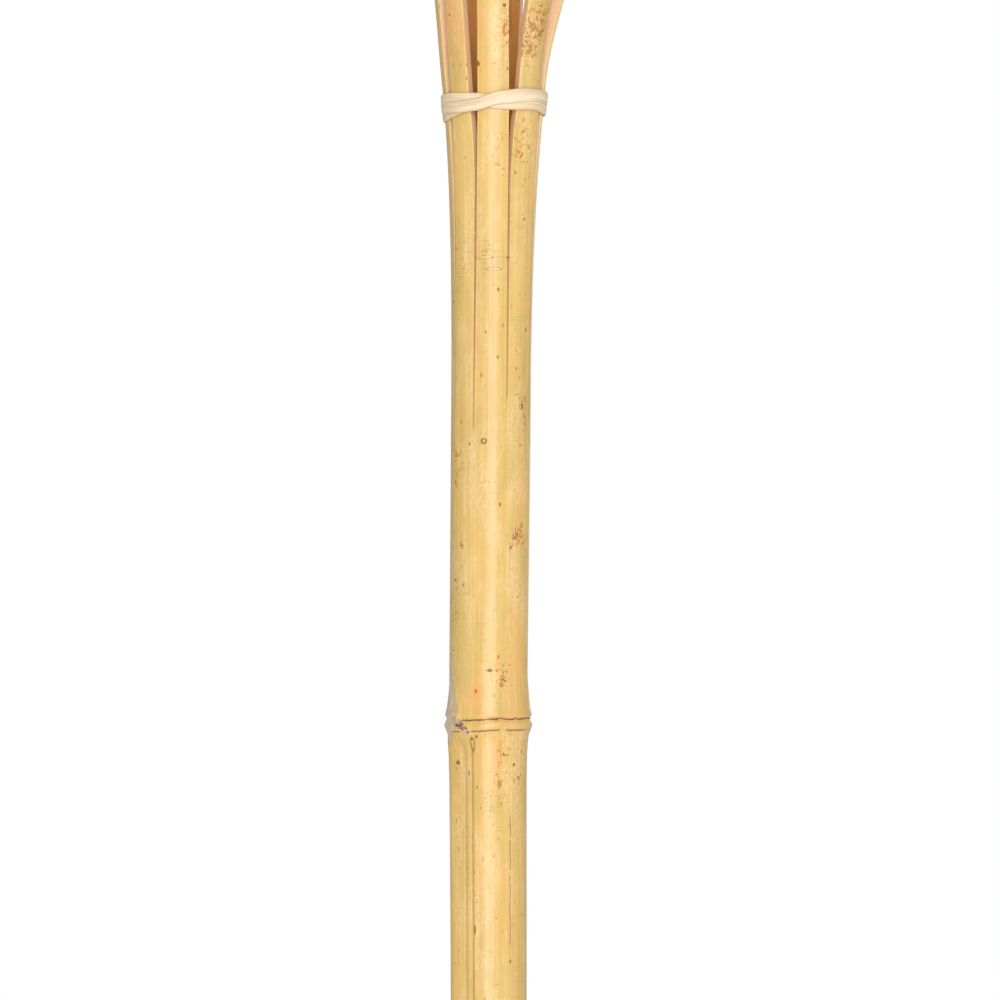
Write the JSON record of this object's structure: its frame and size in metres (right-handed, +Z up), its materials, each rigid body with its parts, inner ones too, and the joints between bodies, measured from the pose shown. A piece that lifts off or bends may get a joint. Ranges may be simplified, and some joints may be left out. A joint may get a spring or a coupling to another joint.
{
  "type": "tiki torch",
  "caption": "Bamboo garden torch on a pole: the pole's slit top flares into a reed-bound basket that holds an oil canister with a screw-on wick burner and a hinged snuffer.",
  "frame": {"origin": "at the tip of the foot's height, on the axis through the middle of the head", "axes": "+Z up along the pole, from the foot to the head; the torch's front faces -Y; +X is to its right as seen from the front"},
  "size_m": [0.1194, 0.1194, 1.5451],
  "materials": {
    "bamboo": "natural satin skin",
    "flat_reed": "raw split reed",
    "rattan": "natural satin",
    "tinplate": "bright tinplate",
    "burner_metal": "satin",
    "pin_steel": "satin",
    "gasket_rubber": "matte",
    "wick_fibre": "woven fibreglass",
    "snuffer_metal": "black enamel"
  },
  "bodies": {
    "torch": {"bamboo_pole": "bamboo", "stave_1": "bamboo", "stave_2": "bamboo", "stave_3": "bamboo", "stave_4": "bamboo", "stave_5": "bamboo", "stave_6": "bamboo", "stave_7": "bamboo", "stave_8": "bamboo", "stave_9": "bamboo", "tie_band": "flat_reed", "middle_weave_outside": "rattan", "middle_weave_inside": "rattan", "rim_weave_outside": "rattan", "rim_weave_inside": "rattan", "spreader_hoop": "rattan"},
    "canister": {"canister_wall": "tinplate", "canister_bottom": "tinplate", "canister_top": "tinplate", "canister_neck": "tinplate"},
    "gasket": {"cap_gasket": "gasket_rubber"},
    "burner": {"burner_cap": "burner_metal", "wick_tube": "burner_metal", "tube_lock_washer": "burner_metal", "hinge_pin": "pin_steel"},
    "wick": {"wick": "wick_fibre"},
    "snuffer": {"snuffer_cup": "snuffer_metal", "snuffer_arm": "snuffer_metal", "snuffer_knob": "snuffer_metal"}
  },
  "joints": [
    {"name": "canister_lift", "type": "slide", "parent": "torch", "child": "canister", "axis": [0, 0, 1], "range_m": [0, 0.13]},
    {"name": "burner_rise", "type": "slide", "parent": "canister", "child": "gasket", "axis": [0, 0, 1], "range_m": [0, 0.0046]},
    {"name": "burner_turn", "type": "hinge", "parent": "gasket", "child": "burner", "pos_m": [0, 0, 1.5075], "axis": [0, 0, 1], "range_deg": [0, 540]},
    {"name": "wick_raise", "type": "slide", "parent": "burner", "child": "wick", "axis": [0, 0, 1], "range_m": [-0.003, 0.008]},
    {"name": "snuffer_flip", "type": "hinge", "parent": "burner", "child": "snuffer", "pos_m": [0, 0.02, 1.5165], "axis": [-1, 0, 0], "range_deg": [0, 110]}
  ],
  "couplings": [
    {"joint": "burner_rise", "follows": "burner_turn", "m_per_rad": 0.00047746}
  ]
}
